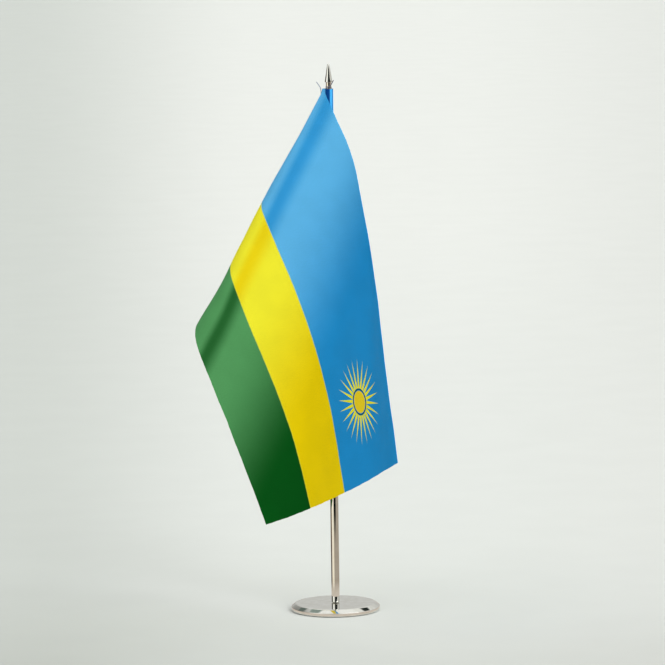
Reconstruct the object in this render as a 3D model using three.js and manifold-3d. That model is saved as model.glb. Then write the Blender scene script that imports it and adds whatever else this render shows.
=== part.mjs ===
// Desk flag stand: chromed round base, tube pole, pointed finial and a folded satin table flag.
// Millimetres, +Z up. Origin at the centre of the base's underside, on the pole's axis.

import * as THREE from 'three';
import { mergeVertices } from 'three/addons/utils/BufferGeometryUtils.js';
import Module from 'manifold-3d';

const wasm = await Module();
wasm.setup();

// ---------------------------------------------------------------- driving dimensions

const GAP = 0.3; // clearance between neighbouring pieces
const THREAD_GAP = 0.15; // clearance round a screw thread

const BASE_RADIUS = 27.5;
const BASE_FLAT_RADIUS = 24.8; // flat top, inside the bevel
const BASE_TOP = 4.6;
const BEVEL_DROP = 2.1;
const RIM_BOTTOM = 0.45;
const RIM_WIDTH = 0.9; // rim left round the pad's recess

const PAD_THICKNESS = 0.6;

const POLE_RADIUS = 2.5;
const POLE_BORE = 2.0;
const POLE_TOP = 325.0;

const INSERT_LENGTH = 7.0;
const SCREW_RADIUS = 1.25; // M2.5
const SCREW_REACH = 6.0; // thread length above the base
const SCREW_HEAD_RADIUS = 2.3;
const SCREW_HEAD_HEIGHT = 1.15;

const STUD_RADIUS = 1.0; // M2
const STUD_DEPTH = 5.5; // below the pole's top
const STUD_IN_FINIAL = 4.5;

const FINIAL_TIP = 340.4;
const FINIAL_RADIUS = 2.35;
const NECK_RADIUS = 1.65;
const NECK_LENGTH = 3.9;
const TIP_RADIUS = 0.55;

const FLAG_LENGTH = 245; // from the pole's axis to the fly edge
const FLAG_HEIGHT = 154.5;
const CLOTH = 0.3;
const HOIST_TOP = POLE_TOP + 0.2;
const FLAG_HEADING = 136.4; // direction in which the cloth leaves the pole, degrees from +X

const HEM_START = 3.2; // where the sleeve's hem meets the cloth again
const HEM_END = 5.4;
const FLAG_ROWS = 5; // rows of faces down the cloth
const SLEEVE_STEPS = 14;

const THREAD_RADIUS = 0.25;

const ROUND = 64; // sides of a turned piece
const FINE_ROUND = 32; // sides of a small turned piece

// ---------------------------------------------------------------- materials

const material = (color, roughness, metalness) =>
	new THREE.MeshStandardMaterial({ color, roughness, metalness });

const chrome = material(0xd8dad8, 0.08, 1.0);
const steel = material(0xa9abac, 0.35, 1.0);
const brass = material(0xb8964e, 0.35, 1.0);
const foam = material(0x1d1e20, 0.95, 0.0);
const satin = material(0x3c9ad8, 0.55, 0.0);
const thread = material(0x2c3f6b, 0.8, 0.0);

// ---------------------------------------------------------------- helpers

const degrees = THREE.MathUtils.degToRad;

function named(name, geometry, look) {
	const mesh = new THREE.Mesh(geometry, look.clone());
	mesh.name = name;
	return mesh;
}

// A turned solid: pairs of radius and height, from the bottom of the axis to its top.
function turned(profile, sides = ROUND) {
	const points = profile.map(([r, z]) => new THREE.Vector2(r, z));
	return new THREE.LatheGeometry(points, sides).rotateX(Math.PI / 2);
}

// A turned ring: the profile closes on itself, clear of the axis.
function turnedRing(profile, sides = ROUND) {
	return turned([...profile, profile[0]], sides);
}

function toSolid(geometry) {
	const bare = geometry.clone();
	bare.deleteAttribute('normal');
	bare.deleteAttribute('uv');
	const merged = mergeVertices(bare, 1e-4);
	return new wasm.Manifold(
		new wasm.Mesh({
			numProp: 3,
			vertProperties: new Float32Array(merged.attributes.position.array),
			triVerts: new Uint32Array(merged.index.array),
		}),
	);
}

function toGeometry(solid) {
	const mesh = solid.getMesh();
	const geometry = new THREE.BufferGeometry();
	geometry.setAttribute('position', new THREE.BufferAttribute(mesh.vertProperties, 3));
	geometry.setIndex(new THREE.BufferAttribute(mesh.triVerts, 1));
	geometry.computeVertexNormals();
	return geometry;
}

const cut = (geometry, tool) => toGeometry(toSolid(geometry).subtract(toSolid(tool)));
const join = (geometry, extra) => toGeometry(toSolid(geometry).add(toSolid(extra)));

// ---------------------------------------------------------------- base

function basePlate() {
	const recessRadius = BASE_RADIUS - RIM_WIDTH;
	const recessTop = PAD_THICKNESS + GAP;
	const headRadius = SCREW_HEAD_RADIUS + THREAD_GAP;
	const holeRadius = SCREW_RADIUS + THREAD_GAP;
	const edge = 0.15; // small rounding of the rim's corners
	return turnedRing([
		[holeRadius, recessTop + SCREW_HEAD_HEIGHT],
		[headRadius, recessTop],
		[recessRadius, recessTop],
		[recessRadius, RIM_BOTTOM],
		[BASE_RADIUS - edge, RIM_BOTTOM],
		[BASE_RADIUS, RIM_BOTTOM + edge],
		[BASE_RADIUS, BASE_TOP - BEVEL_DROP - edge],
		[BASE_RADIUS - edge / 2, BASE_TOP - BEVEL_DROP],
		[BASE_FLAT_RADIUS + edge, BASE_TOP - edge / 2],
		[BASE_FLAT_RADIUS - edge, BASE_TOP],
		[holeRadius, BASE_TOP],
	]);
}

function basePad() {
	const radius = BASE_RADIUS - RIM_WIDTH - GAP;
	const chamfer = 0.1;
	return turned([
		[0, 0],
		[radius - chamfer, 0],
		[radius, chamfer],
		[radius, PAD_THICKNESS],
		[0, PAD_THICKNESS],
	]);
}

function baseScrew() {
	const headBottom = PAD_THICKNESS + GAP + 0.05;
	const top = BASE_TOP + SCREW_REACH;
	const chamfer = 0.3;
	const slotDepth = 0.5;
	const body = turned(
		[
			[0, headBottom],
			[SCREW_HEAD_RADIUS - 0.1, headBottom],
			[SCREW_HEAD_RADIUS, headBottom + 0.1],
			[SCREW_RADIUS, headBottom + SCREW_HEAD_HEIGHT],
			[SCREW_RADIUS, top - chamfer],
			[SCREW_RADIUS - chamfer, top],
			[0, top],
		],
		FINE_ROUND,
	);
	const arm = () => new THREE.BoxGeometry(2.6, 0.5, 2 * slotDepth);
	const cross = join(arm(), arm().rotateZ(Math.PI / 2)).translate(0, 0, headBottom);
	return cut(body, cross);
}

// ---------------------------------------------------------------- pole

function poleTube() {
	const bottom = BASE_TOP + GAP;
	const chamfer = 0.25;
	return turnedRing([
		[POLE_BORE, bottom],
		[POLE_RADIUS - chamfer, bottom],
		[POLE_RADIUS, bottom + chamfer],
		[POLE_RADIUS, POLE_TOP - chamfer],
		[POLE_RADIUS - chamfer, POLE_TOP],
		[POLE_BORE, POLE_TOP],
	]);
}

// A threaded plug: its bore runs right through.
function threadedInsert(bottom, threadRadius) {
	const outer = POLE_BORE - THREAD_GAP;
	const bore = threadRadius + THREAD_GAP;
	const top = bottom + INSERT_LENGTH;
	const chamfer = 0.2;
	return turnedRing(
		[
			[bore, bottom + chamfer],
			[bore + chamfer, bottom],
			[outer, bottom],
			[outer, top],
			[bore + chamfer, top],
			[bore, top - chamfer],
		],
		FINE_ROUND,
	);
}

// ---------------------------------------------------------------- finial

function finialPoint() {
	const bottom = POLE_TOP + GAP;
	const coneBottom = bottom + NECK_LENGTH;
	const bore = STUD_RADIUS + THREAD_GAP;
	const boreTop = bottom + STUD_IN_FINIAL + GAP;
	const edge = 0.35; // rounding of the cone's lower edge
	const tipSteps = 6;
	const profile = [
		[0, boreTop + 0.5],
		[bore, boreTop],
		[bore, bottom],
		[NECK_RADIUS, bottom],
		[NECK_RADIUS, coneBottom],
		[FINIAL_RADIUS - edge, coneBottom],
	];
	for (let i = 1; i <= 4; i++) {
		const turn = (i / 4) * (Math.PI / 2);
		profile.push([
			FINIAL_RADIUS - edge + edge * Math.sin(turn),
			coneBottom + edge - edge * Math.cos(turn),
		]);
	}
	// The tip is a small ball that the cone's side meets at a tangent.
	const rise = FINIAL_TIP - TIP_RADIUS - (coneBottom + edge);
	const lean = Math.asin((FINIAL_RADIUS - TIP_RADIUS) / rise);
	for (let i = 0; i <= tipSteps; i++) {
		const turn = lean + (i / tipSteps) * (Math.PI / 2 - lean);
		profile.push([
			i === tipSteps ? 0 : TIP_RADIUS * Math.cos(turn),
			FINIAL_TIP - TIP_RADIUS + TIP_RADIUS * Math.sin(turn),
		]);
	}
	return turned(profile, FINE_ROUND);
}

function finialStud() {
	const bottom = POLE_TOP - STUD_DEPTH;
	const top = POLE_TOP + GAP + STUD_IN_FINIAL;
	const chamfer = 0.2;
	return turned(
		[
			[0, bottom],
			[STUD_RADIUS - chamfer, bottom],
			[STUD_RADIUS, bottom + chamfer],
			[STUD_RADIUS, top - chamfer],
			[STUD_RADIUS - chamfer, top],
			[0, top],
		],
		FINE_ROUND,
	);
}

// ---------------------------------------------------------------- flag

// The flat cloth, u mm from the pole's axis and v mm below its top edge, is bent only along straight lines.
// Each line starts at u = start on the top edge, slants from the hoist's direction towards the fly by slant,
// and turns the cloth beyond it by bend. All are angles in radians.
// The cloth hangs a little out of square: the threads that cross the pole rise as they leave it.
// The flag's own frame: x along the cloth as it leaves the pole, y out of its front face, z up.

const SLEEVE_RADIUS = POLE_RADIUS + GAP + CLOTH / 2; // middle of the cloth round the pole

const THREAD_RISE = 5.3; // degrees

const FOLD = { slant: 33.5, halfFan: 7.2, turn: -185.3, start: 0.62, spread: 1.76, steps: 16 };
// curl is the bend over the whole fan, at even steps from the fold to the top edge. startShifts is how far
// the lines' starts move along the top edge, in the fan's first and second half.
const FRONT = {
	lastSlant: 89,
	steps: 42,
	curl: [-2.21, 2.82, -0.18, 1.37, -1.69],
	startShifts: [91.1, 22.2],
};

// Where a point of the flat cloth lies before it is bent, in the flag's own frame.
function flatPlace({ x, y }) {
	const rise = degrees(THREAD_RISE);
	return new THREE.Vector3(x * Math.cos(rise), 0, x * Math.sin(rise) - y);
}

function interpolate(values, t) {
	const place = t * (values.length - 1);
	const low = Math.min(Math.floor(place), values.length - 2);
	return THREE.MathUtils.lerp(values[low], values[low + 1], place - low);
}

function foldLines() {
	const lines = [];
	const weights = (FOLD.steps * 2) / Math.PI; // sum of the sine below
	for (let i = 0; i < FOLD.steps; i++) {
		const t = (i + 0.5) / FOLD.steps;
		lines.push({
			start: FOLD.start + FOLD.spread * t,
			slant: degrees(FOLD.slant + FOLD.halfFan * (2 * t - 1)),
			bend: (degrees(FOLD.turn) * Math.sin(Math.PI * t)) / weights,
		});
	}
	return lines;
}

function frontLines() {
	const lines = [];
	const firstSlant = FOLD.slant + FOLD.halfFan;
	const firstStart = FOLD.start + FOLD.spread;
	const starts = [0, FRONT.startShifts[0], FRONT.startShifts[0] + FRONT.startShifts[1]];
	for (let i = 0; i < FRONT.steps; i++) {
		const t = (i + 0.5) / FRONT.steps;
		lines.push({
			start: firstStart + interpolate(starts, t),
			slant: degrees(THREE.MathUtils.lerp(firstSlant, FRONT.lastSlant, t)),
			bend: interpolate(FRONT.curl, t) / FRONT.steps,
		});
	}
	return lines;
}

// One line without a bend is added, so that the outline has a point on the lower fly corner.
function withCornerLine(lines) {
	const endsBelow = (line) => line.start + FLAG_HEIGHT * Math.tan(line.slant) < FLAG_LENGTH;
	const after = lines.findIndex((line) => !endsBelow(line));
	const start = (lines[after - 1].start + lines[after].start) / 2;
	const corner = { start, slant: Math.atan2(FLAG_LENGTH - start, FLAG_HEIGHT), bend: 0 };
	return [...lines.slice(0, after), corner, ...lines.slice(after)];
}

// A column of the sheet is one straight line across it: points from its top end to its other end, each with
// the sheet's normal there. carry is the frame that takes the flat cloth to its place on this line.
function columnAlong(from, to, carryBefore, carryAfter) {
	const face = new THREE.Vector3(0, 1, 0);
	const normal = face
		.clone()
		.transformDirection(carryBefore)
		.add(face.clone().transformDirection(carryAfter))
		.normalize();
	const column = [];
	for (let row = 0; row <= FLAG_ROWS; row++) {
		const place = from.clone().lerp(to, row / FLAG_ROWS);
		column.push({ point: flatPlace(place).applyMatrix4(carryAfter), normal });
	}
	return column;
}

function bentColumns() {
	const carry = new THREE.Matrix4().makeTranslation(0, SLEEVE_RADIUS, 0);
	const columns = [];
	let lastStart = 0;
	for (const line of withCornerLine([...foldLines(), ...frontLines()])) {
		const reach = Math.min(
			(FLAG_LENGTH - line.start) / Math.sin(line.slant),
			FLAG_HEIGHT / Math.cos(line.slant),
		);
		const from = new THREE.Vector2(line.start, 0);
		const along = new THREE.Vector2(Math.sin(line.slant), Math.cos(line.slant));
		const pivot = new THREE.Matrix4().makeTranslation(flatPlace(from));
		const axis = flatPlace(along).normalize();
		const before = carry.clone();
		carry
			.multiply(pivot)
			.multiply(new THREE.Matrix4().makeRotationAxis(axis, line.bend))
			.multiply(pivot.clone().invert());
		columns.push(columnAlong(from, from.clone().addScaledVector(along, reach), before, carry.clone()));
		lastStart = line.start;
	}
	// Beyond the last line the cloth is flat up to its top edge.
	const topEdge = new THREE.Vector2(THREE.MathUtils.lerp(lastStart, FLAG_LENGTH, 0.05), 0);
	columns.push(columnAlong(topEdge, new THREE.Vector2(FLAG_LENGTH, 0), carry, carry));
	return columns;
}

// The sleeve in plan: from the hem's edge along the cloth's back to the hem's start, straight to the pole,
// and round it to where the cloth leaves the pole.
function sleeveColumns() {
	const hemY = SLEEVE_RADIUS - CLOTH - GAP;
	const hemStart = new THREE.Vector2(HEM_START, hemY);
	const touch = hemStart.angle() - Math.acos(SLEEVE_RADIUS / hemStart.length());
	const radial = (angle) => new THREE.Vector2(Math.cos(angle), Math.sin(angle));
	const hemFace = new THREE.Vector2(0, -1);
	const stations = [
		{ place: new THREE.Vector2(HEM_END, hemY), face: hemFace },
		{ place: hemStart, face: hemFace.clone().add(radial(touch)).normalize() },
	];
	const quarter = Math.PI / 2;
	for (let i = 0; i <= SLEEVE_STEPS; i++) {
		const angle = THREE.MathUtils.lerp(touch, quarter - 2 * Math.PI, i / SLEEVE_STEPS);
		stations.push({ place: radial(angle).multiplyScalar(SLEEVE_RADIUS), face: radial(angle) });
	}
	return stations.map(({ place, face }) => {
		const normal = new THREE.Vector3(face.x, face.y, 0);
		const column = [];
		for (let row = 0; row <= FLAG_ROWS; row++) {
			const height = (-FLAG_HEIGHT * row) / FLAG_ROWS;
			column.push({ point: new THREE.Vector3(place.x, place.y, height), normal });
		}
		return column;
	});
}

// A closed sheet of even thickness from its columns.
function sheetGeometry(columns, thickness) {
	const rows = columns[0].length;
	const positions = [];
	for (const side of [0.5, -0.5]) {
		for (const column of columns) {
			for (const { point, normal } of column) {
				positions.push(...point.clone().addScaledVector(normal, side * thickness));
			}
		}
	}
	const front = (c, r) => c * rows + r;
	const back = (c, r) => columns.length * rows + c * rows + r;
	const index = [];
	const quad = (a, b, c, d) => index.push(a, b, c, a, c, d);
	const lastColumn = columns.length - 1;
	const lastRow = rows - 1;
	for (let c = 0; c < lastColumn; c++) {
		for (let r = 0; r < lastRow; r++) {
			quad(front(c, r), front(c + 1, r), front(c + 1, r + 1), front(c, r + 1));
			quad(back(c, r), back(c, r + 1), back(c + 1, r + 1), back(c + 1, r));
		}
		quad(front(c, 0), back(c, 0), back(c + 1, 0), front(c + 1, 0));
		quad(front(c, lastRow), front(c + 1, lastRow), back(c + 1, lastRow), back(c, lastRow));
	}
	for (let r = 0; r < lastRow; r++) {
		quad(front(0, r), front(0, r + 1), back(0, r + 1), back(0, r));
		quad(front(lastColumn, r), back(lastColumn, r), back(lastColumn, r + 1), front(lastColumn, r + 1));
	}
	const geometry = new THREE.BufferGeometry();
	geometry.setAttribute('position', new THREE.Float32BufferAttribute(positions, 3));
	geometry.setIndex(index);
	geometry.computeVertexNormals();
	return geometry;
}

const flagCloth = () => sheetGeometry([...sleeveColumns(), ...bentColumns()], CLOTH);

// ---------------------------------------------------------------- threads

function threadAlong(points, steps) {
	const sides = 8;
	const section = new THREE.Shape();
	for (let i = 0; i < sides; i++) {
		const turn = (i / sides) * 2 * Math.PI;
		const corner = [THREAD_RADIUS * Math.cos(turn), THREAD_RADIUS * Math.sin(turn)];
		if (i === 0) section.moveTo(...corner);
		else section.lineTo(...corner);
	}
	const path = new THREE.CatmullRomCurve3(points);
	return new THREE.ExtrudeGeometry(section, { steps, extrudePath: path });
}

// Down the back of the hem, with a loose end that stands out at the top corner. In the flag's own frame.
function sleeveSeam() {
	const x = (HEM_START + HEM_END) / 2;
	const y = SLEEVE_RADIUS - 1.5 * CLOTH - 2 * GAP - THREAD_RADIUS;
	const margin = 1.5;
	return threadAlong(
		[
			new THREE.Vector3(x, y, margin - FLAG_HEIGHT),
			new THREE.Vector3(x, y, -FLAG_HEIGHT / 2),
			new THREE.Vector3(x, y, -3 * margin),
			new THREE.Vector3(x + 0.3, y, -0.2),
			new THREE.Vector3(x + 1.8, y, 2.0),
			new THREE.Vector3(x + 4.0, y, 4.0),
		],
		64,
	);
}

// Round the finial's neck, just above the pole's end, and off to the right in front of the finial.
function tieThread() {
	const radius = NECK_RADIUS + GAP + THREAD_RADIUS;
	const bottom = POLE_TOP + GAP + THREAD_RADIUS;
	const pitch = 2 * THREAD_RADIUS + 0.15;
	const firstAngle = 100;
	const lastAngle = 630;
	const step = 20;
	const points = [];
	for (let angle = firstAngle; angle <= lastAngle; angle += step) {
		const turn = degrees(angle);
		const height = bottom + (pitch * (angle - firstAngle)) / 360;
		points.push(new THREE.Vector3(radius * Math.cos(turn), radius * Math.sin(turn), height));
	}
	points.push(new THREE.Vector3(1.3, -2.3, 327.3));
	points.push(new THREE.Vector3(2.3, -2.5, 328.9));
	points.push(new THREE.Vector3(3.1, -2.7, 330.6));
	return threadAlong(points, 72);
}

// ---------------------------------------------------------------- assembly

const stand = new THREE.Group();
stand.add(
	named('base_plate', basePlate(), chrome),
	named('base_pad', basePad(), foam),
	named('base_screw', baseScrew(), steel),
	named('pole_foot_insert', threadedInsert(BASE_TOP + GAP, SCREW_RADIUS), brass),
	named('pole_tube', poleTube(), chrome),
	named('pole_top_insert', threadedInsert(POLE_TOP - INSERT_LENGTH, STUD_RADIUS), brass),
);

const finial = new THREE.Group();
finial.add(named('finial_stud', finialStud(), steel), named('finial', finialPoint(), chrome));

const cloth = new THREE.Group();
cloth.position.z = HOIST_TOP;
cloth.rotation.z = degrees(FLAG_HEADING);
cloth.add(named('flag_cloth', flagCloth(), satin), named('sleeve_seam', sleeveSeam(), thread));

const flagStand = new THREE.Group();
flagStand.add(stand, finial, cloth, named('tie_thread', tieThread(), thread));

export default flagStand;
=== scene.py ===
"""Desk flag stand: the looks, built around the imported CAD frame. Metres, +Z up."""

import math

import bpy
import numpy as np
from mathutils import Matrix, Vector


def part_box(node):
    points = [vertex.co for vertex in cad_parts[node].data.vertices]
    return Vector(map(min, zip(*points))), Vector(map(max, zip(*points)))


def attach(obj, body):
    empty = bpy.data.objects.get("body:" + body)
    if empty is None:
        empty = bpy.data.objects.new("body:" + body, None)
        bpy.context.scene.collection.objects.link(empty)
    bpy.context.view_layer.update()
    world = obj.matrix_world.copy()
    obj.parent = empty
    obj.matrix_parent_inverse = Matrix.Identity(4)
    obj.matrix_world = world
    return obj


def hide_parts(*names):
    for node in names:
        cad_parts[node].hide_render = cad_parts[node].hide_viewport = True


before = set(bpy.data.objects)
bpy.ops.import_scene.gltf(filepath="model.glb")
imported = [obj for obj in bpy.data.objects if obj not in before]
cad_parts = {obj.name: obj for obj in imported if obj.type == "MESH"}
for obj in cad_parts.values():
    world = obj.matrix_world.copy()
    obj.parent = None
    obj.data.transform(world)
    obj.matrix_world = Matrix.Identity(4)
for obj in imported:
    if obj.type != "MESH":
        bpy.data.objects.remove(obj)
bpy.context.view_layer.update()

MM = 0.001


# ------------------------------------------------------------------ driving values, millimetres

def low(node):
    return [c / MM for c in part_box(node)[0]]


def high(node):
    return [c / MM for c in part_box(node)[1]]


BASE_RADIUS = high("base_plate")[0]
BASE_TOP = high("base_plate")[2]
RIM_BOTTOM = low("base_plate")[2]
BEVEL_WIDTH, BEVEL_DROP = 2.7, 2.1
RECESS_RADIUS = high("base_pad")[0] + 0.3
RECESS_TOP = high("base_pad")[2] + 0.3

POLE_RADIUS = high("pole_tube")[0]
POLE_BORE = 2.0
POLE_BOTTOM = low("pole_tube")[2]
POLE_TOP = high("pole_tube")[2]

FINIAL_BOTTOM = low("finial")[2]
FINIAL_TIP = high("finial")[2]
FINIAL_RADIUS = high("finial")[0]
NECK_RADIUS, NECK_LENGTH, TIP_RADIUS = 1.65, 3.9, 0.75

FLAG_LENGTH = 245.0  # from the pole's axis to the fly edge
FLAG_HEIGHT = 154.5
FLAG_HEADING = 136.4  # direction in which the cloth leaves the pole, degrees from +X
HOIST_TOP = POLE_TOP + 0.2
CLOTH = 0.16
CLOTH_GAP = 0.1  # from the pole to the cloth, and between the hem's two layers
SLEEVE_RADIUS = POLE_RADIUS + CLOTH_GAP + CLOTH / 2  # middle of the cloth round the pole
HEM_START, HEM_END = 3.2, 5.4  # where the sleeve's hem lies along the cloth's back
HEM_TUCK = 2.2  # the hem is drawn in towards this at the top corner


# ------------------------------------------------------------------ camera

def make_camera():
    """Far off, a little above the stand, and rolled by under a degree."""
    distance, height = 3.0, 0.5642
    pitch, roll = math.radians(7.409), math.radians(0.784)
    data = bpy.data.cameras.new("camera")
    data.sensor_width = 36.0
    data.lens = 264.7976
    data.shift_x = 0.000791
    data.clip_end = 200.0
    camera = bpy.data.objects.new("camera", data)
    bpy.context.collection.objects.link(camera)
    right = Vector((1, 0, 0))
    up = Vector((0, math.sin(pitch), math.cos(pitch)))
    rolled_right = math.cos(roll) * right - math.sin(roll) * up
    rolled_up = math.sin(roll) * right + math.cos(roll) * up
    turn = Matrix((rolled_right, rolled_up, rolled_right.cross(rolled_up))).transposed()
    camera.matrix_world = Matrix.Translation((0, -distance, height)) @ turn.to_4x4()
    bpy.context.scene.camera = camera


make_camera()
bpy.context.scene.view_settings.view_transform = "Standard"


# ------------------------------------------------------------------ materials

class Nodes:
    """A Principled material, with short calls that build the nodes in front of it."""

    def __init__(self, name, **values):
        self.material = bpy.data.materials.new(name)
        self.material.use_nodes = True
        self.tree = self.material.node_tree
        self.shader = self.tree.nodes["Principled BSDF"]
        for socket, value in values.items():
            self.shader.inputs[socket.replace("_", " ")].default_value = value

    @classmethod
    def on(cls, tree):
        """The same calls on a node tree that is there already."""
        nodes = cls.__new__(cls)
        nodes.tree = tree
        return nodes

    def add(self, kind, **settings):
        node = self.tree.nodes.new(kind)
        for key, value in settings.items():
            setattr(node, key, value)
        return node

    def feed(self, target, value):
        """Puts another node's output, or a plain value, into a socket."""
        if isinstance(value, bpy.types.NodeSocket):
            self.tree.links.new(value, target)
        else:
            target.default_value = value

    def maths(self, operation, *values):
        node = self.add("ShaderNodeMath", operation=operation)
        for socket, value in zip(node.inputs, values):
            self.feed(socket, value)
        return node.outputs[0]

    def times(self, first, second):
        return self.maths("MULTIPLY", first, second)

    def length(self, x, y):
        return self.maths("SQRT", self.maths("ADD", self.maths("POWER", x, 2), self.maths("POWER", y, 2)))

    def mapped(self, value, start, end, at_start=0.0, at_end=1.0, smooth=True):
        """Value carried from start..end to at_start..at_end, held at both ends."""
        kind = "SMOOTHSTEP" if smooth else "LINEAR"
        node = self.add("ShaderNodeMapRange", interpolation_type=kind)
        for socket, given in zip(node.inputs, (value, start, end, at_start, at_end)):
            self.feed(socket, given)
        return node.outputs[0]

    def varied(self, noise, at_low=0.0, at_high=1.0):
        """A noise, which mostly lies between 0.3 and 0.7, carried to at_low..at_high."""
        return self.mapped(noise, 0.3, 0.7, at_low, at_high)

    def mix(self, factor, first, second, blend="MIX"):
        node = self.add("ShaderNodeMix", data_type="RGBA", blend_type=blend)
        self.feed(node.inputs[0], factor)
        self.feed(node.inputs[6], first)
        self.feed(node.inputs[7], second)
        return node.outputs[2]

    def noise(self, vector, scale, detail):
        node = self.add("ShaderNodeTexNoise")
        self.feed(node.inputs["Vector"], vector)
        node.inputs["Scale"].default_value = scale
        node.inputs["Detail"].default_value = detail
        return node.outputs["Fac"]

    def parts(self, vector):
        node = self.add("ShaderNodeSeparateXYZ")
        self.feed(node.inputs[0], vector)
        return node.outputs

    def joined(self, x, y, z):
        node = self.add("ShaderNodeCombineXYZ")
        for socket, value in zip(node.inputs, (x, y, z)):
            self.feed(socket, value)
        return node.outputs[0]

    def place(self):
        """Object coordinates in millimetres."""
        node = self.add("ShaderNodeVectorMath", operation="SCALE")
        self.feed(node.inputs[0], self.add("ShaderNodeTexCoord").outputs["Object"])
        node.inputs["Scale"].default_value = 1 / MM
        return node.outputs[0]

    def flat_place(self):
        """Where a point lies on the flat cloth: mm from the pole, and mm down from the top edge."""
        u, v, _ = self.parts(self.add("ShaderNodeUVMap", uv_map="flat").outputs[0])
        across = self.times(u, FLAG_LENGTH)
        down = self.maths("MULTIPLY_ADD", v, -FLAG_HEIGHT, FLAG_HEIGHT)
        return across, down

    def round_place(self):
        """Radius, turn in radians and height about the pole's axis, in millimetres."""
        x, y, z = self.parts(self.place())
        return self.length(x, y), self.maths("ARCTAN2", y, x), z

    def colour(self, value):
        self.feed(self.shader.inputs["Base Color"], value)

    def roughness(self, value):
        self.feed(self.shader.inputs["Roughness"], value)

    def bump(self, height, strength, distance):
        """A bump of height 0 to 1 over a distance in millimetres."""
        node = self.add("ShaderNodeBump")
        node.inputs["Strength"].default_value = strength
        node.inputs["Distance"].default_value = distance * MM
        self.feed(node.inputs["Height"], height)
        self.feed(self.shader.inputs["Normal"], node.outputs[0])


def screen(red, green, blue):
    """A colour as a screen shows it, 0 to 255, for a shader socket."""
    def linear(c):
        return c / 12.92 if c <= 0.04045 else ((c + 0.055) / 1.055) ** 2.4
    return tuple(linear(c / 255) for c in (red, green, blue)) + (1.0,)


def grey(level):
    return (level, level, level, 1.0)


def chrome(name, lines):
    """Polished chrome: faint cloudiness, and fine polishing lines round the axis or along it."""
    look = Nodes(name, Metallic=1.0)
    cloud = look.noise(look.place(), 0.22, 3.0)
    tint = look.mix(look.mapped(cloud, 0.35, 0.65), screen(226, 226, 220), screen(234, 235, 231))
    look.colour(tint)
    radius, turn, height = look.round_place()
    if lines == "round":
        strength = 0.04
        drawn_out = look.joined(look.times(radius, 9.0), turn, height)
    else:
        strength = 0.01
        drawn_out = look.joined(look.times(turn, 14.0), 0.0, look.times(height, 0.08))
    streak = look.noise(drawn_out, 1.0, 4.0)
    smudge = look.mapped(cloud, 0.45, 0.75, 0.0, 0.04)
    look.roughness(look.maths("ADD", look.varied(streak, 0.02, 0.05), smudge))
    look.bump(streak, strength, 0.02)
    return look.material


def turned_metal(name, first, second, roughness):
    """Unpolished turned metal: fine tool lines round the axis, and uneven colour."""
    look = Nodes(name, Metallic=1.0)
    cloud = look.noise(look.place(), 0.8, 4.0)
    look.colour(look.mix(look.mapped(cloud, 0.35, 0.65), first, second))
    radius, turn, height = look.round_place()
    drawn_out = look.joined(look.times(radius, 12.0), look.times(height, 12.0), turn)
    lines = look.noise(drawn_out, 1.0, 3.0)
    look.roughness(look.varied(lines, roughness - 0.08, roughness + 0.1))
    look.bump(lines, 0.25, 0.02)
    return look.material


def foam():
    """Closed-cell foam: fine cells and a dusty lighter tone in places."""
    look = Nodes("pad_foam", Specular_IOR_Level=0.3)
    place = look.place()
    cells = look.add("ShaderNodeTexVoronoi")
    look.feed(cells.inputs["Vector"], place)
    cells.inputs["Scale"].default_value = 3.2
    dust = look.noise(place, 0.5, 5.0)
    look.colour(look.mix(look.mapped(dust, 0.4, 0.7), screen(30, 26, 24), screen(58, 50, 45)))
    look.roughness(look.varied(dust, 0.85, 0.97))
    look.bump(cells.outputs["Distance"], 0.5, 0.12)
    return look.material


# The print on the cloth, in mm from the pole and down from the top edge: two straight borders between its
# three bands, and a rayed sun.
UPPER_BORDER, LOWER_BORDER = 73.1, 112.2
SUN_PLACE = (195.1, 40.4)
SUN_RAYS, SUN_RAY_HALF_WIDTH = 24, 1.12
SUN_NARROWING = 0.84  # the sun is printed a little shorter down the flag than along it
SUN_DISC, SUN_RING_INNER, SUN_RING_OUTER, SUN_RAYS_END = 7.1, 7.5, 8.7, 29.5
FOLD_COS, FOLD_LEAN = 0.834, 0.682  # across and down, as measured square to the bend lines beside the fold


def painted_fold_light(look, across, down):
    """Painted light on the satin, 0 to 1, by its distance from the fold.

    A slim valley of painted shade runs down beside the fold. Beyond it a painted highlight makes the satin
    look lighter, and further off painted shade makes it look deeper. Both run along the cloth's bend lines.
    """
    leaned = look.maths("MULTIPLY_ADD", down, -FOLD_LEAN, 2.0)
    beside = look.maths("MULTIPLY_ADD", across, FOLD_COS, leaned)
    painted_valley_shade = look.times(look.mapped(beside, 3.2, 9.2), look.mapped(beside, 10.5, 21.0, 0.8, 0.0))
    painted_light = look.times(look.mapped(beside, 26.0, 92.0, 1.0, 0.0), look.maths("SUBTRACT", 1.0, painted_valley_shade))
    # Painted shade on the sleeve, which keeps 0.35 of the painted highlight.
    return look.times(painted_light, look.mapped(across, -1.5, 1.0, 0.35, 1.0))


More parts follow.
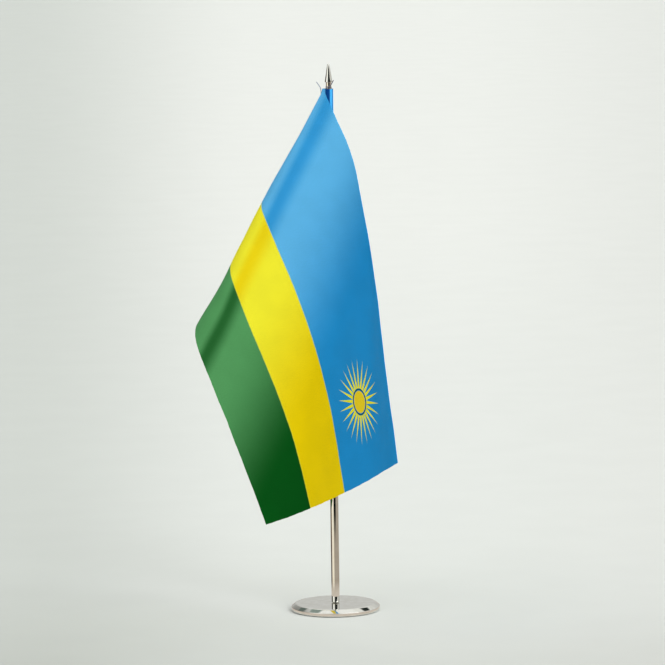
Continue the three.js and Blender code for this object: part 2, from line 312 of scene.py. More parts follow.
def printed_bands(look, flat, down, painted_light):
    """Blue, yellow and green bands, with a slim lighter line where two inks meet."""
    wander = look.mapped(look.noise(flat, 0.35, 3.0), 0.0, 1.0, -0.22, 0.22, smooth=False)
    ragged = look.maths("ADD", down, wander)
    upper = look.mapped(ragged, UPPER_BORDER - 0.2, UPPER_BORDER + 0.2)
    lower = look.mapped(ragged, LOWER_BORDER - 0.2, LOWER_BORDER + 0.2)
    # Each band: a shaded and a lit copy of its ink, mixed by the painted light.
    blue = look.mix(painted_light, screen(32, 151, 222), screen(98, 188, 243))
    yellow = look.mix(painted_light, screen(250, 218, 0), screen(255, 246, 52))
    green = look.mix(painted_light, screen(0, 84, 20), screen(88, 161, 98))
    colour = look.mix(lower, look.mix(upper, blue, yellow), green)
    for border in (UPPER_BORDER, LOWER_BORDER):
        off = look.maths("ABSOLUTE", look.maths("SUBTRACT", ragged, border))
        colour = look.mix(look.mapped(off, 0.15, 0.55, 0.6, 0.0), colour, screen(240, 236, 70))
    return colour


def printed_sun(look, across, down, colour):
    """A gold disc in a teal ring, with tapering rays round it, printed over a colour."""
    x = look.maths("SUBTRACT", across, SUN_PLACE[0])
    y = look.maths("DIVIDE", look.maths("SUBTRACT", down, SUN_PLACE[1]), SUN_NARROWING)
    radius = look.length(x, y)
    turn = look.times(look.maths("ARCTAN2", y, x), SUN_RAYS / (2 * math.pi))
    nearest = look.maths("ABSOLUTE", look.maths("SUBTRACT", turn, look.maths("ROUND", turn)))
    aside = look.times(look.times(nearest, radius), 2 * math.pi / SUN_RAYS)
    taper = (SUN_RING_OUTER, SUN_RAYS_END, SUN_RAY_HALF_WIDTH, -0.12)
    inside = look.maths("SUBTRACT", look.mapped(radius, *taper, smooth=False), aside)
    beyond = look.mapped(radius, SUN_RING_OUTER - 0.1, SUN_RING_OUTER + 0.1)
    rays = look.times(look.mapped(inside, -0.06, 0.1), beyond)
    disc = look.mapped(radius, SUN_DISC - 0.12, SUN_DISC + 0.12, 1.0, 0.0)
    off_disc = look.mapped(radius, SUN_RING_INNER - 0.15, SUN_RING_INNER + 0.15)
    ring = look.times(off_disc, look.mapped(radius, SUN_RING_OUTER - 0.15, SUN_RING_OUTER, 1.0, 0.0))
    colour = look.mix(ring, colour, screen(26, 98, 122))
    colour = look.mix(rays, colour, screen(255, 250, 40))
    return look.mix(disc, colour, screen(255, 224, 40))


def satin():
    """Printed polyester satin: bands and a sun, a fine warp-faced weave, and a soft gloss painted into its
    colour as highlight and shade.
    """
    look = Nodes("printed_satin", Specular_IOR_Level=0.04)
    across, down = look.flat_place()
    flat = look.joined(across, down, 0.0)
    colour = printed_bands(look, flat, down, painted_fold_light(look, across, down))
    colour = printed_sun(look, across, down, colour)

    # The sleeve: painted shade where the folded corner lies over it, and a dark line of painted shade along
    # its edge.
    shaded = look.times(look.mapped(across, -3.1, -2.3), look.mapped(across, 0.0, 0.4, 1.0, 0.0))
    painted_edge_shade = look.mapped(look.maths("ABSOLUTE", look.maths("ADD", across, 4.7)), 0.1, 0.4, 1.0, 0.0)
    colour = look.mix(look.maths("MAXIMUM", shaded, painted_edge_shade), colour, screen(6, 62, 128))

    # Warp floats catch the light one by one: a fine grain, longer along the cloth than across it.
    grain = look.noise(look.joined(look.times(across, 0.55), down, 0.0), 2.4, 2.0)
    cloudy = look.noise(flat, 0.06, 3.0)
    for pattern, darkest in ((grain, 0.82), (cloudy, 0.95)):
        tone = look.mix(look.varied(pattern), grey(darkest), grey(1.0))
        colour = look.mix(1.0, colour, tone, "MULTIPLY")
    look.colour(colour)
    look.roughness(look.varied(grain, 0.36, 0.52))
    thread_pitch = 0.3
    slanted = look.maths("MULTIPLY_ADD", down, 2 * math.pi / thread_pitch, look.times(across, 4.2))
    weave = look.maths("SINE", slanted)
    look.bump(look.maths("MULTIPLY_ADD", weave, 0.15, grain), 0.35, 0.06)
    return look.material


def sewing_thread(name, first, second):
    """Spun thread: light and dark fibres along it."""
    look = Nodes(name, Sheen_Weight=0.4, Roughness=0.7)
    place = look.place()
    fibres = look.noise(place, 14.0, 3.0)
    look.colour(look.mix(look.mapped(fibres, 0.35, 0.65), first, second))
    look.roughness(look.varied(fibres, 0.6, 0.85))
    look.bump(fibres, 0.5, 0.03)
    return look.material


# ------------------------------------------------------------------ mesh helpers

def add_mesh(name, points, faces, smooth_under=35):
    """A mesh object from points in millimetres, smooth across edges flatter than an angle in degrees."""
    mesh = bpy.data.meshes.new(name)
    mesh.from_pydata([tuple(float(c) * MM for c in p) for p in points], [], [tuple(f) for f in faces])
    mesh.update()
    mesh.polygons.foreach_set("use_smooth", [True] * len(mesh.polygons))
    mesh.set_sharp_from_angle(angle=math.radians(smooth_under))
    piece = bpy.data.objects.new(name, mesh)
    bpy.context.collection.objects.link(piece)
    return piece


def arc(centre, radius, start, end, steps):
    """Points on an arc, in the plane of radius and height. Angles in degrees."""
    angles = np.radians(np.linspace(start, end, steps + 1))
    return [(centre[0] + radius * math.cos(a), centre[1] + radius * math.sin(a)) for a in angles]


def rounded(corners, radii, steps=4):
    """A closed outline with each corner rounded by its radius."""
    outline = []
    for i, (corner, radius) in enumerate(zip(corners, radii)):
        here = np.array(corner, float)
        before = np.array(corners[i - 1], float) - here
        after = np.array(corners[(i + 1) % len(corners)], float) - here
        if radius == 0:
            outline.append(tuple(here))
            continue
        before /= np.linalg.norm(before)
        after /= np.linalg.norm(after)
        half = math.acos(np.clip(before @ after, -1, 1)) / 2
        reach = radius / math.tan(half)
        start, end = here + before * reach, here + after * reach
        centre = here + (before + after) / np.linalg.norm(before + after) * radius / math.sin(half)
        for t in np.linspace(0, 1, steps + 1):
            arm = (start - centre) * (1 - t) + (end - centre) * t
            outline.append(tuple(centre + arm / np.linalg.norm(arm) * radius))
    return outline


def lathe(name, profile, sides, closed=False):
    """A turned piece. Its profile runs from the axis to the axis, or closes on itself."""
    points, faces, rings = [], [], []
    for radius, height in profile:
        start = len(points)
        if radius < 1e-9:
            rings.append([start] * sides)
            points.append((0, 0, height))
            continue
        rings.append(list(range(start, start + sides)))
        for i in range(sides):
            turn = 2 * math.pi * i / sides
            points.append((radius * math.cos(turn), radius * math.sin(turn), height))
    for lower, upper in zip(rings, rings[1:] + rings[:1] if closed else rings[1:]):
        for i in range(sides):
            j = (i + 1) % sides
            corners = [lower[i], lower[j], upper[j], upper[i]]
            face = [c for k, c in enumerate(corners) if c != corners[k - 1]]
            if len(face) > 2:
                faces.append(face)
    return add_mesh(name, points, faces)


def place_piece(piece, body, slot, material, *nodes):
    """Gives a piece its body and its finish, and hides the CAD nodes that it stands for."""
    piece.data.materials.append(material)
    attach(piece, body)
    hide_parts(*nodes)


# ------------------------------------------------------------------ base

def make_base():
    """The chromed disc: flat top, slim bevel and upright rim, hollowed underneath for the pad."""
    flat = BASE_RADIUS - BEVEL_WIDTH
    hole, countersink, countersink_depth = 1.4, 2.45, 1.15
    flat_from = flat - 3  # a point here keeps the rounded edge's shading off the flat top
    outline = rounded(
        [
            (hole, RECESS_TOP + countersink_depth), (countersink, RECESS_TOP), (RECESS_RADIUS, RECESS_TOP),
            (RECESS_RADIUS, RIM_BOTTOM), (BASE_RADIUS, RIM_BOTTOM), (BASE_RADIUS, BASE_TOP - BEVEL_DROP),
            (flat, BASE_TOP), (flat_from, BASE_TOP), (hole, BASE_TOP),
        ],
        [0, 0, 0.1, 0.1, 0.14, 0.35, 2.2, 0, 0.05],
        steps=8,
    )
    disc = lathe("base_disc", outline, sides=256, closed=True)
    place_piece(disc, "stand", "chrome", chrome("chrome_base", "round"), "base_plate")


def make_pad():
    """The foam pad under the disc, its edge slightly swollen."""
    radius, height = high("base_pad")[0], high("base_pad")[2]
    side = arc((radius - 0.22, height / 2), height / 2 - 0.02, -80, 80, 8)
    rings = np.linspace(4, radius - 0.5, 8)
    profile = [(0, 0)] + [(r, 0) for r in rings] + side
    profile += [(r, height) for r in reversed(rings)] + [(0, height)]
    place_piece(lathe("base_pad_foam", profile, sides=180), "stand", "pad_foam", foam(), "base_pad")


def threaded(name, bottom, top, radius, pitch, chamfer=0.2, sides=40, steps_per_turn=10, head=()):
    """A screw thread as one closed mesh, its ridge climbing one pitch a turn.

    head is a turned foot below it, as radius and height at each of its corners.
    """
    depth = 0.54 * pitch
    heights = np.linspace(bottom, top, max(2, int((top - bottom) / pitch * steps_per_turn)))
    rings = [[(r, z)] * sides for r, z in head]
    for z in heights:
        ring = []
        for i in range(sides):
            phase = (z / pitch - i / sides) % 1.0
            ridge = 1 - abs(2 * phase - 1)
            crest = min(1.0, 1.35 * ridge)
            # The thread runs out into a chamfer at its top, and at its bottom unless a head is there.
            near_end = min(z - bottom if not head else chamfer, top - z, chamfer)
            ring.append((radius - depth * (1 - crest) - (chamfer - near_end) * 0.9, z))
        rings.append(ring)
    points = [
        (r * math.cos(2 * math.pi * i / sides), r * math.sin(2 * math.pi * i / sides), z)
        for ring in rings for i, (r, z) in enumerate(ring)
    ]
    faces = []
    for k in range(len(rings) - 1):
        for i in range(sides):
            j = (i + 1) % sides
            faces.append((k * sides + i, k * sides + j, (k + 1) * sides + j, (k + 1) * sides + i))
    for ring, z, flip in ((0, rings[0][0][1], True), (len(rings) - 1, rings[-1][0][1], False)):
        centre = len(points)
        points.append((0, 0, z))
        for i in range(sides):
            edge = (ring * sides + i, ring * sides + (i + 1) % sides)
            faces.append((centre, *(reversed(edge) if flip else edge)))
    return add_mesh(name, points, faces, 50)


def make_screws(steel):
    """The countersunk screw that holds the pole from below, and the finial's stud."""
    box_low, box_high = low("base_screw"), high("base_screw")
    bottom, head = box_low[2], box_high[0]
    cone = [(head - 0.15, bottom), (head, bottom + 0.12), (1.25, bottom + 1.15), (1.0, bottom + 1.3)]
    shank, pitch = 1.22, 0.45
    screw = threaded("base_screw_threaded", bottom + 1.5, box_high[2], shank, pitch, head=cone)
    place_piece(screw, "stand", "plain_steel", steel, "base_screw")
    stud_bottom, stud_top, shank, pitch = low("finial_stud")[2], high("finial_stud")[2], 0.98, 0.4
    stud = threaded("finial_stud_threaded", stud_bottom, stud_top, shank, pitch)
    place_piece(stud, "finial_rise", "plain_steel", steel, "finial_stud")


# ------------------------------------------------------------------ pole and finial

def make_pole():
    """The chromed tube, open at both ends. Sharp points near its ends keep its wall's shading straight."""
    outline = rounded(
        [
            (POLE_BORE, POLE_BOTTOM), (POLE_RADIUS, POLE_BOTTOM), (POLE_RADIUS, POLE_BOTTOM + 1),
            (POLE_RADIUS, POLE_TOP - 1), (POLE_RADIUS, POLE_TOP), (POLE_BORE, POLE_TOP),
        ],
        [0.05, 0.2, 0, 0, 0.2, 0.05],
    )
    pole = lathe("pole_tube_chromed", outline, sides=128, closed=True)
    place_piece(pole, "stand", "chrome", chrome("chrome_pole", "along"), "pole_tube")


def make_inserts(brass):
    """The two brass plugs in the pole's ends: knurled outside, with a chamfered bore."""
    edge, bore_edge = 0.15, 0.2
    groove_mouth, groove_floor, groove_depth = 0.6, 0.4, 0.25  # two half widths and a depth
    knurls, knurl_depth = 32, 0.03
    for node, bore in (("pole_foot_insert", 1.4), ("pole_top_insert", 1.15)):
        bottom, top, outer = low(node)[2], high(node)[2], high(node)[0]
        middle = (bottom + top) / 2
        outline = [
            (bore, bottom + bore_edge), (bore + bore_edge, bottom),
            (outer - edge, bottom), (outer, bottom + edge),
            (outer, middle - groove_mouth), (outer - groove_depth, middle - groove_floor),
            (outer - groove_depth, middle + groove_floor), (outer, middle + groove_mouth),
            (outer, top - edge), (outer - edge, top),
            (bore + bore_edge, top), (bore, top - bore_edge),
        ]
        plug = lathe(node + "_turned", outline, sides=96, closed=True)
        for vertex in plug.data.vertices:
            if math.hypot(vertex.co.x, vertex.co.y) > (outer - 0.05) * MM:
                turn = math.atan2(vertex.co.y, vertex.co.x)
                shrink = 1 - knurl_depth * (0.5 + 0.5 * math.cos(knurls * turn))
                vertex.co.x *= shrink
                vertex.co.y *= shrink
        place_piece(plug, "stand", "brass", brass, node)


def make_finial():
    """A slim cone on a narrower neck, with a rounded tip and a bore for the stud."""
    cone_bottom = FINIAL_BOTTOM + NECK_LENGTH
    edge, neck_edge, root = 0.35, 0.12, 0.2  # radii of the cone's rim, the neck's rim and where they meet
    bore, bore_top = 1.15, FINIAL_BOTTOM + 4.8
    rise = FINIAL_TIP - TIP_RADIUS - (cone_bottom + edge)
    lean = math.degrees(math.asin((FINIAL_RADIUS - TIP_RADIUS) / rise))
    profile = [(0, bore_top + 0.5), (bore, bore_top), (bore, FINIAL_BOTTOM)]
    profile += arc((NECK_RADIUS - neck_edge, FINIAL_BOTTOM + neck_edge), neck_edge, -90, 0, 4)
    profile += arc((NECK_RADIUS + root, cone_bottom - root), root, 180, 90, 4)
    profile += arc((FINIAL_RADIUS - edge, cone_bottom + edge), edge, -90, lean, 8)
    tip = arc((0, FINIAL_TIP - TIP_RADIUS), TIP_RADIUS, lean, 90, 10)
    start, end = np.array(profile[-1]), np.array(tip[0])
    profile += [tuple(start + (end - start) * t) for t in (0.25, 0.5, 0.75)]
    profile += tip[:-1] + [(0, FINIAL_TIP)]
    point = lathe("finial_point", profile, sides=96)
    place_piece(point, "finial_turn", "chrome", chrome("chrome_finial", "round"), "finial")


# ------------------------------------------------------------------ flag

# The flat cloth, across mm from the pole's axis and down mm from its top edge, is bent only along straight
# lines. Each line starts on the top edge, slants from the hoist's direction towards the fly, and turns the
# cloth beyond it. The cloth hangs a little out of square: its crosswise threads rise as they leave the
# pole. The flag's own frame: x along the cloth as it leaves the pole, y out of its front face, z up.

THREAD_RISE = math.radians(5.3)
FOLD_SLANT, FOLD_HALF_FAN, FOLD_TURN = 33.5, 7.2, -185.3
FOLD_START, FOLD_SPREAD = 0.62, 1.76
FRONT_LAST_SLANT = 89.0
# How strongly the front layer's fan bends, at even steps from the fold to the top edge, and how far its
# lines' starts have moved at the fan's start, middle and end.
FRONT_CURL = (-2.21, 2.82, -0.18, 1.37, -1.69)
FRONT_SHIFTS = (0.0, 91.1, 113.3)
LEAD_STEPS, FOLD_STEPS, FRONT_STEPS, SLEEVE_STEPS = 30, 44, 190, 48
ROWS = 60


def flat_place(across, down):
    """Where a point of the flat cloth lies before it is bent, in the flag's own frame."""
    return Vector((across * math.cos(THREAD_RISE), 0, across * math.sin(THREAD_RISE) - down))


def interpolate(values, t):
    """The value at t, from 0 to 1, between evenly spaced values."""
    return float(np.interp(t, np.linspace(0, 1, len(values)), values))


def bend_lines():
    """(start in mm, slant and bend in radians) of every line, from the hoist to the top edge."""
    lines = []
    first_slant = FOLD_SLANT - FOLD_HALF_FAN
    for i in range(1, LEAD_STEPS):
        t = i / LEAD_STEPS
        lines.append((FOLD_START * t, math.radians(first_slant * t), 0.0))
    share = math.pi / (2 * FOLD_STEPS)
    for i in range(FOLD_STEPS):
        t = (i + 0.5) / FOLD_STEPS
        slant = FOLD_SLANT + FOLD_HALF_FAN * (2 * t - 1)
        bend = math.radians(FOLD_TURN) * math.sin(math.pi * t) * share
        lines.append((FOLD_START + FOLD_SPREAD * t, math.radians(slant), bend))
    for i in range(FRONT_STEPS):
        t = (i + 0.5) / FRONT_STEPS
        slant = np.interp(t, (0, 1), (FOLD_SLANT + FOLD_HALF_FAN, FRONT_LAST_SLANT))
        start = FOLD_START + FOLD_SPREAD + interpolate(FRONT_SHIFTS, t)
        lines.append((start, math.radians(slant), interpolate(FRONT_CURL, t) / FRONT_STEPS))
    return lines


def with_corner_line(lines):
    """Adds a line without a bend through the lower fly corner, so that the outline turns there."""
    below = [start + FLAG_HEIGHT * math.tan(slant) < FLAG_LENGTH for start, slant, _ in lines]
    after = below.index(False)
    start = (lines[after - 1][0] + lines[after][0]) / 2
    corner = (start, math.atan2(FLAG_LENGTH - start, FLAG_HEIGHT), 0.0)
    return lines[:after] + [corner] + lines[after:]


def edge_wander(place):
    """How far a hot-cut edge strays from straight, in mm, at a place along it."""
    waves = ((0.07, 1.9, 0.0), (0.06, 0.83, 1.0), (0.09, 0.31, 0.0))
    return sum(size * math.sin(rate * place + shift) for size, rate, shift in waves)


def ripple(across, down):
    """Soft unevenness of the hanging cloth, in mm along its normal."""
    fade = min(1.0, across / 30.0)
    slow = 0.35 * math.sin(across / 17.0 + down / 31.0) + 0.25 * math.sin(across / 29.0 - down / 14.0 + 2.0)
    quick = 0.05 * math.sin(across / 4.3 + down / 9.0) + 0.04 * math.sin(across / 7.1 - down / 5.2 + 0.7)
    return fade * (slow + quick)


def column_along(start, end, before, after):
    """Points on one straight line of the cloth: place in space, normal, and place on the flat cloth."""
    face = before[:3, :3] @ (0, 1, 0) + after[:3, :3] @ (0, 1, 0)
    face = face / np.linalg.norm(face)
    column = []
    for row in range(ROWS + 1):
        across, down = start + (end - start) * row / ROWS
        place = (after @ (*flat_place(across, down), 1))[:3] + face * ripple(across, down)
        column.append((place, face, (across, down)))
    return column


def bent_columns():
    """A column of points for every bend line and one for the fly corner, each bend carried to the next."""
    carry = np.array(Matrix.Translation((0, SLEEVE_RADIUS, 0)))
    columns = []
    for start, slant, bend in with_corner_line(bend_lines()):
        along = np.array((math.sin(slant), math.cos(slant)))
        reach = min((FLAG_LENGTH - start) / math.sin(slant), FLAG_HEIGHT / math.cos(slant))
        pivot = Matrix.Translation(flat_place(start, 0))
        turn = pivot @ Matrix.Rotation(bend, 4, flat_place(*along).normalized()) @ pivot.inverted()
        before, carry = carry, carry @ np.array(turn)
        top = np.array((start, 0.0)) + along * edge_wander(start)
        bottom = np.array((start, 0.0)) + along * (reach + edge_wander(reach + start))
        columns.append(column_along(top, bottom, before, carry))
        last_start = start
    top_edge = np.array((last_start + 0.05 * (FLAG_LENGTH - last_start), 0.0))
    columns.append(column_along(top_edge, np.array((FLAG_LENGTH, 0.0)), carry, carry))
    return columns


def sleeve_plan():
    """Places and outward faces round the sleeve in plan, from the hem's edge to where the cloth leaves."""
    def radial(angle):
        return np.array((math.cos(angle), math.sin(angle)))

    hem_y = SLEEVE_RADIUS - CLOTH - CLOTH_GAP
    hem_start = np.array((HEM_START, hem_y))
    touch = math.atan2(hem_y, HEM_START) - math.acos(SLEEVE_RADIUS / np.linalg.norm(hem_start))
    plan = [(np.array((x, hem_y)), np.array((0.0, -1.0))) for x in np.linspace(HEM_END, HEM_START, 6)[:-1]]
    contact = radial(touch) * SLEEVE_RADIUS
    for t in np.linspace(0, 1, 6)[:-1]:
        face = (1 - t) * np.array((0.0, -1.0)) + t * radial(touch)
        plan.append((hem_start + (contact - hem_start) * t, face / np.linalg.norm(face)))
    for a in np.linspace(touch, math.pi / 2 - 2 * math.pi, SLEEVE_STEPS + 1):
        plan.append((radial(a) * SLEEVE_RADIUS, radial(a)))
    return plan


def sleeve_columns():
    """A column of points for every place round the sleeve, the hem drawn in at the top corner."""
    plan = sleeve_plan()
    lengths = [np.linalg.norm(b[0] - a[0]) for a, b in zip(plan, plan[1:])]
    across = -sum(lengths)
    columns = []
    for (place, face), step in zip(plan, lengths + [0.0]):
        column = []
        for row in range(ROWS + 1):
            down = FLAG_HEIGHT * row / ROWS
            height = -down + (edge_wander(across) if row in (0, ROWS) else 0.0)
            tuck = float(np.interp(down, (0.0, 7.0), (0.25, 1.0))) if place[0] > HEM_TUCK else 1.0
            x = HEM_TUCK + (place[0] - HEM_TUCK) * tuck
            column.append((np.array((x, place[1], height)), np.array((*face, 0.0)), (across, down)))
        columns.append(column)
        across += step
    return columns


def to_world(point):
    """From the flag's own frame to the stand's, in millimetres."""
    heading = Matrix.Rotation(math.radians(FLAG_HEADING), 4, "Z")
    return Matrix.Translation((0, 0, HOIST_TOP)) @ heading @ Vector(point)


def hill(place, centre, spread):
    """1 at the centre, falling away smoothly on both sides of it."""
    return math.exp(-(((place - centre) / spread) ** 2))


def sag(across, down):
    """How far the front layer has eased right, a little forward and down since it was folded, in mm."""
    if across <= 0:
        return Vector((0, 0, 0))
    beside = FOLD_COS * across - FOLD_LEAN * down
    off_fold = float(np.interp(beside, (0, 8, 40), (0, 0.3, 1)))
    # To the right: the whole layer, more so near the hoist and its lower edge, and the fold's lower end.
    right = off_fold * (1.3 + 0.9 * hill(across, 35, 22) + 0.7 * (down / FLAG_HEIGHT) ** 2)
    right += 1.6 * hill(down, 130, 16) * hill(beside, 0, 25)
    # Down: mostly the fly, apart from a stretch of its edge under the sun.
    drop = off_fold * float(np.interp(across, (60, FLAG_LENGTH), (0.2, 1.2)))
    drop -= 1.3 * hill(down, 34, 20) * float(np.interp(across, (170, FLAG_LENGTH), (0, 1))) ** 2
    return Vector((0.9 * right, -0.44 * right, -drop))


def make_flag():
    """The whole cloth as one closed sheet, with a UV map of each point's place on the flat cloth."""
    columns = sleeve_columns() + bent_columns()
    count, rows = len(columns), ROWS + 1
    last = count - 1

    def front(c, r):
        return c * rows + r

    def back(c, r):
        return (count + c) * rows + r

    points, flat, faces = [], [], []
    for side in (0.5, -0.5):
        for column in columns:
            for place, face, spot in column:
                points.append(to_world(place + face * side * CLOTH) + sag(*spot))
                flat.append((spot[0] / FLAG_LENGTH, 1 - spot[1] / FLAG_HEIGHT))
    for c in range(last):
        for r in range(ROWS):
            faces.append((front(c, r), front(c + 1, r), front(c + 1, r + 1), front(c, r + 1)))
            faces.append((back(c, r), back(c, r + 1), back(c + 1, r + 1), back(c + 1, r)))
        faces.append((front(c, 0), back(c, 0), back(c + 1, 0), front(c + 1, 0)))
        faces.append((front(c, ROWS), front(c + 1, ROWS), back(c + 1, ROWS), back(c, ROWS)))
    for r in range(ROWS):
        faces.append((front(0, r), front(0, r + 1), back(0, r + 1), back(0, r)))
        faces.append((front(last, r), back(last, r), back(last, r + 1), front(last, r + 1)))
    cloth = add_mesh("flag_satin", points, faces, 80)
    layer = cloth.data.uv_layers.new(name="flat")
    order = np.empty(len(cloth.data.loops), dtype=int)
    cloth.data.loops.foreach_get("vertex_index", order)
    layer.data.foreach_set("uv", np.array(flat)[order].ravel())
    place_piece(cloth, "flag", "satin", satin(), "flag_cloth")


# ------------------------------------------------------------------ threads

def smooth_path(points, spacing):
    """Evenly spaced points on a smooth curve through points."""
    points = [np.array(p, float) for p in points]
    padded = [2 * points[0] - points[1], *points, 2 * points[-1] - points[-2]]
    fine = []
    for a, b, c, d in zip(padded, padded[1:], padded[2:], padded[3:]):
        bend, swing = 2 * a - 5 * b + 4 * c - d, 3 * b - a - 3 * c + d
        for t in np.linspace(0, 1, 12, endpoint=False):
            fine.append(0.5 * (2 * b + (c - a) * t + bend * t**2 + swing * t**3))
    fine = np.array([*fine, points[-1]])
    lengths = np.concatenate(([0], np.cumsum(np.linalg.norm(np.diff(fine, axis=0), axis=1))))
    places = np.linspace(0, lengths[-1], max(3, int(lengths[-1] / spacing)))
    return np.stack([np.interp(places, lengths, fine[:, k]) for k in range(3)], axis=1)


def frames_along(path):
    """Two directions across the path at each point, carried along it without twist."""
    tangents = np.gradient(path, axis=0)
    tangents /= np.linalg.norm(tangents, axis=1)[:, None]
    side = np.cross(tangents[0], (0.3, 0.2, 0.93))  # no thread here starts that way
    sides = []
    for tangent in tangents:
        side = side - tangent * (side @ tangent)
        side /= np.linalg.norm(side)
        sides.append(side)
    sides = np.array(sides)
    return sides, np.cross(tangents, sides)


def tube(path, radius, points, faces, sides=8):
    """Adds a closed tube with tapered ends to points and faces."""
    across, up = frames_along(path)
    base = len(points)
    for i, centre in enumerate(path):
        narrow = 0.45 if i in (0, len(path) - 1) else 1.0
        for k in range(sides):
            turn = 2 * math.pi * k / sides
            points.append(centre + radius * narrow * (across[i] * math.cos(turn) + up[i] * math.sin(turn)))
    for i in range(len(path) - 1):
        for k in range(sides):
            m = (k + 1) % sides
            a = base + i * sides
            faces.append((a + k, a + m, a + sides + m, a + sides + k))
    faces.append([base + k for k in reversed(range(sides))])
    faces.append([base + (len(path) - 1) * sides + k for k in range(sides)])


def twisted(route, radius, points, faces, plies=3, lay=1.3):
    """Adds a thread of twisted plies that follows a route."""
    path = smooth_path(route, 0.12)
    across, up = frames_along(path)
    run = np.concatenate(([0], np.cumsum(np.linalg.norm(np.diff(path, axis=0), axis=1))))
    for ply in range(plies):
        turn = 2 * math.pi * (run / lay + ply / plies)
        offset = across * np.cos(turn)[:, None] + up * np.sin(turn)[:, None]
        tube(path + offset * radius * 0.5, radius * 0.56, points, faces)


def make_seam():
    """Running stitches down the back of the hem, each end dipping into it, and a loose end at the top."""
    x = (HEM_START + HEM_END) / 2
    radius, loose_radius = 0.14, 0.2
    back_y = SLEEVE_RADIUS - 1.5 * CLOTH - CLOTH_GAP - 0.6 * radius
    pitch, stitch = 2.5, 2.1
    points, faces = [], []
    first, last = 9.0, FLAG_HEIGHT - 1.5
    for i in range(int((last - first) / pitch)):
        top = -(first + i * pitch)
        lean = 0.12 * math.sin(2.3 * i)
        route = [
            (x, back_y + 0.12, top), (x + lean, back_y - 0.03, top - 0.5 * stitch),
            (x, back_y + 0.12, top - stitch),
        ]
        twisted([to_world(p) for p in route], radius, points, faces)
    loose = [
        (x, back_y, -first), (x, back_y, -4.5), (x + 0.3, back_y, -0.2), (x + 1.8, back_y, 2.0),
        (x + 4.0, back_y, 4.0),
    ]
    twisted([to_world(p) for p in loose], loose_radius, points, faces)
    seam = add_mesh("sleeve_stitches", points, faces, 60)
    look = sewing_thread("thread_light", screen(84, 112, 148), screen(46, 74, 116))
    place_piece(seam, "flag", "thread", look, "sleeve_seam")


def make_tie():
    """A thread wound one and a half times round the finial's neck, knotted, with a free end."""
    radius, tail_radius, rise_per_turn = 0.13, 0.25, 0.65
    coil = NECK_RADIUS + 0.12 + radius
    bottom = POLE_TOP + 0.55
    first, last = 100, 631
    route = []
    for angle in range(first, last, 20):
        turn = math.radians(angle)
        height = bottom + rise_per_turn * (angle - first) / 360
        route.append((coil * math.cos(turn), coil * math.sin(turn), height))
    tail = [
        route[-1], (0.9, -2.25, POLE_TOP + 1.6), (1.5, -2.4, POLE_TOP + 2.8), (2.3, -2.5, POLE_TOP + 4.1),
        (3.1, -2.7, POLE_TOP + 5.6),
    ]
    points, faces = [], []
    twisted(route, radius, points, faces)
    twisted(tail, tail_radius, points, faces)
    knot = [
        (0.5 * math.cos(a) - 0.1, -2.35 + 0.28 * math.sin(2 * a), bottom + 0.75 + 0.42 * math.sin(a))
        for a in np.linspace(0, 4 * math.pi, 26)
    ]
    twisted(knot, radius * 0.9, points, faces)
    tie = add_mesh("tie_thread_twisted", points, faces, 60)
    look = sewing_thread("thread_dark", screen(48, 52, 92), screen(26, 30, 58))
    place_piece(tie, "flag", "thread", look, "tie_thread")


# ------------------------------------------------------------------ floor and light

def room_in_reflections(look, x, y, floor_shade):
    """The floor's colour, and further off a painted reflection: the tones of a room that only polished
    metal shows.

    The room is brown at the left behind the stand, cream at the left, and taupe from the front round to the
    right. Further off it is black in front, and close to the stand it is paler and pinkish.
    """
    # The turn is 0 towards the camera's side and positive to the right.
    turn = look.maths("ARCTAN2", x, look.times(y, -1.0))
    distance = look.length(x, y)
    room = look.mix(look.mapped(turn, -1.75, -1.35), screen(84, 64, 52), screen(232, 222, 206))
    room = look.mix(look.mapped(turn, -0.46, -0.34), room, screen(160, 148, 136))
    black = look.times(look.mapped(turn, -0.46, -0.36), look.mapped(turn, 0.6, 0.8, 1.0, 0.0))
    black = look.times(black, look.mapped(distance, 215.0, 385.0))
    room = look.mix(black, room, grey(0.004))
    room = look.mix(look.mapped(distance, 60.0, 110.0), screen(196, 184, 174), room)
    reflected = look.add("ShaderNodeLightPath").outputs["Is Glossy Ray"]
    beyond = look.times(reflected, look.mapped(distance, 28.0, 33.0))
    return look.mix(beyond, floor_shade, room)


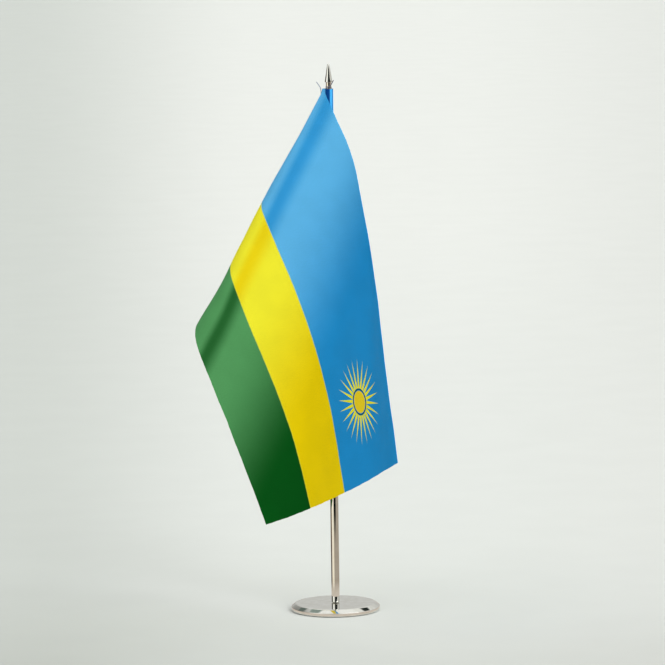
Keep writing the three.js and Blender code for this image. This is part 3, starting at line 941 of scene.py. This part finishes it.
def make_floor():
    """A wide pale floor with a painted pool of light, and painted shade towards its front and left edges.
    """
    extent = 60000.0
    corners = [(-extent, -extent, 0), (extent, -extent, 0), (extent, extent, 0), (-extent, extent, 0)]
    floor = add_mesh("floor", corners, [(0, 1, 2, 3)])
    look = Nodes("pale_floor", Roughness=0.9, Specular_IOR_Level=0.0)
    place = look.place()
    x, y, _ = look.parts(place)
    # Painted light and shade: lighter in a pool round the stand and further back, darker towards the front
    # and the left.
    spread = look.maths("MAXIMUM", look.maths("MULTIPLY_ADD", y, 1 / 3000, 1.0), 0.5)
    aside = look.maths("DIVIDE", x, spread)
    rightward = look.mapped(aside, -120.0, 180.0)
    painted_pool = look.mapped(look.maths("ABSOLUTE", look.maths("SUBTRACT", aside, 20.0)), 50.0, 215.0, 1.0, 0.0)
    back = look.mapped(y, -300.0, 170.0)
    far = look.mapped(y, 300.0, 2500.0)
    edge_front = look.mix(rightward, screen(176, 179, 174), screen(189, 191, 187))
    edge_back = look.mix(rightward, screen(190, 194, 190), screen(206, 208, 205))
    middle_back = look.mix(far, screen(208, 211, 208), screen(214, 216, 213))
    middle = look.mix(back, screen(191, 194, 190), middle_back)
    shade = look.mix(painted_pool, look.mix(back, edge_front, edge_back), middle)
    speck = look.varied(look.noise(place, 0.02, 4.0), 0.985, 1.0)
    shade = look.mix(1.0, shade, look.joined(speck, speck, speck), "MULTIPLY")
    look.colour(room_in_reflections(look, x, y, shade))
    floor.data.materials.append(look.material)


def toward(azimuth, elevation):
    """A direction: azimuth 0 is towards the camera's side, 90 to the right. Degrees."""
    a, e = math.radians(azimuth), math.radians(elevation)
    return Vector((math.sin(a) * math.cos(e), -math.cos(a) * math.cos(e), math.sin(e)))


# Dark shapes that only reflections show: azimuth and elevation of the middle, full and fading radius in
# degrees, and tone.
DARK_CARDS = (
    (10, 12, 24, 38, 0.02), (48, 3, 9, 13, 0.02), (-142, 40, 5, 9, 0.16), (-128, 62, 6, 10, 0.3),
    (137, 47, 5, 9, 0.03),
)


def make_world():
    """Soft light all round: brighter overhead, with soft boxes in front and a darker left side."""
    world = bpy.data.worlds.new("studio")
    bpy.context.scene.world = world
    world.use_nodes = True
    nodes = Nodes.on(world.node_tree)
    background = world.node_tree.nodes["Background"]
    direction = nodes.add("ShaderNodeTexCoord").outputs["Generated"]

    def patch(azimuth, elevation, inner, outer):
        """1 within inner degrees of a direction, 0 beyond outer degrees."""
        dot = nodes.add("ShaderNodeVectorMath", operation="DOT_PRODUCT")
        nodes.feed(dot.inputs[0], direction)
        dot.inputs[1].default_value = toward(azimuth, elevation)
        limits = (math.cos(math.radians(angle)) for angle in (outer, inner))
        return nodes.mapped(dot.outputs["Value"], *limits)

    height = nodes.parts(direction)[2]
    level = nodes.mapped(height, 0.1, 1.0, 0.69, 1.12)
    shade = nodes.joined(level, nodes.times(level, 1.005), nodes.times(level, 0.985))
    dark_side, small_box, large_box = patch(-115, 5, 25, 62), patch(-56, 15, 8, 24), patch(46, 22, 16, 36)
    shade = nodes.mix(dark_side, shade, (0.22, 0.22, 0.21, 1))
    shade = nodes.mix(small_box, shade, (1.7, 1.7, 1.65, 1))
    mirrored = nodes.mix(large_box, shade, (1.5, 1.48, 1.44, 1))
    shade = nodes.mix(large_box, shade, (4.1, 4.1, 4.0, 1))
    mirrored = nodes.mix(1.0, mirrored, (0.86, 0.85, 0.83, 1), "MULTIPLY")
    for *card, tone in DARK_CARDS:
        mirrored = nodes.mix(patch(*card), mirrored, (tone * 0.9, tone * 1.1, tone, 1))
    path = nodes.add("ShaderNodeLightPath")
    shade = nodes.mix(path.outputs["Is Glossy Ray"], shade, mirrored)
    shade = nodes.mix(path.outputs["Is Camera Ray"], shade, screen(226, 229, 225))
    nodes.feed(background.inputs[0], shade)


def make_light():
    """A weak, very soft sun from the front right."""
    data = bpy.data.lights.new("key", "SUN")
    data.energy = 0.6
    data.angle = math.radians(50)
    key = bpy.data.objects.new("key", data)
    key.rotation_euler = (-toward(40, 38)).to_track_quat("-Z", "Y").to_euler()
    bpy.context.collection.objects.link(key)


# ------------------------------------------------------------------ assembly

steel = turned_metal("zinc_steel", screen(160, 162, 166), screen(196, 197, 200), 0.34)
brass = turned_metal("turned_brass", screen(190, 156, 88), screen(214, 182, 112), 0.3)
make_base()
make_pad()
make_screws(steel)
make_pole()
make_inserts(brass)
make_finial()
make_flag()
make_seam()
make_tie()
make_floor()
make_world()
make_light()
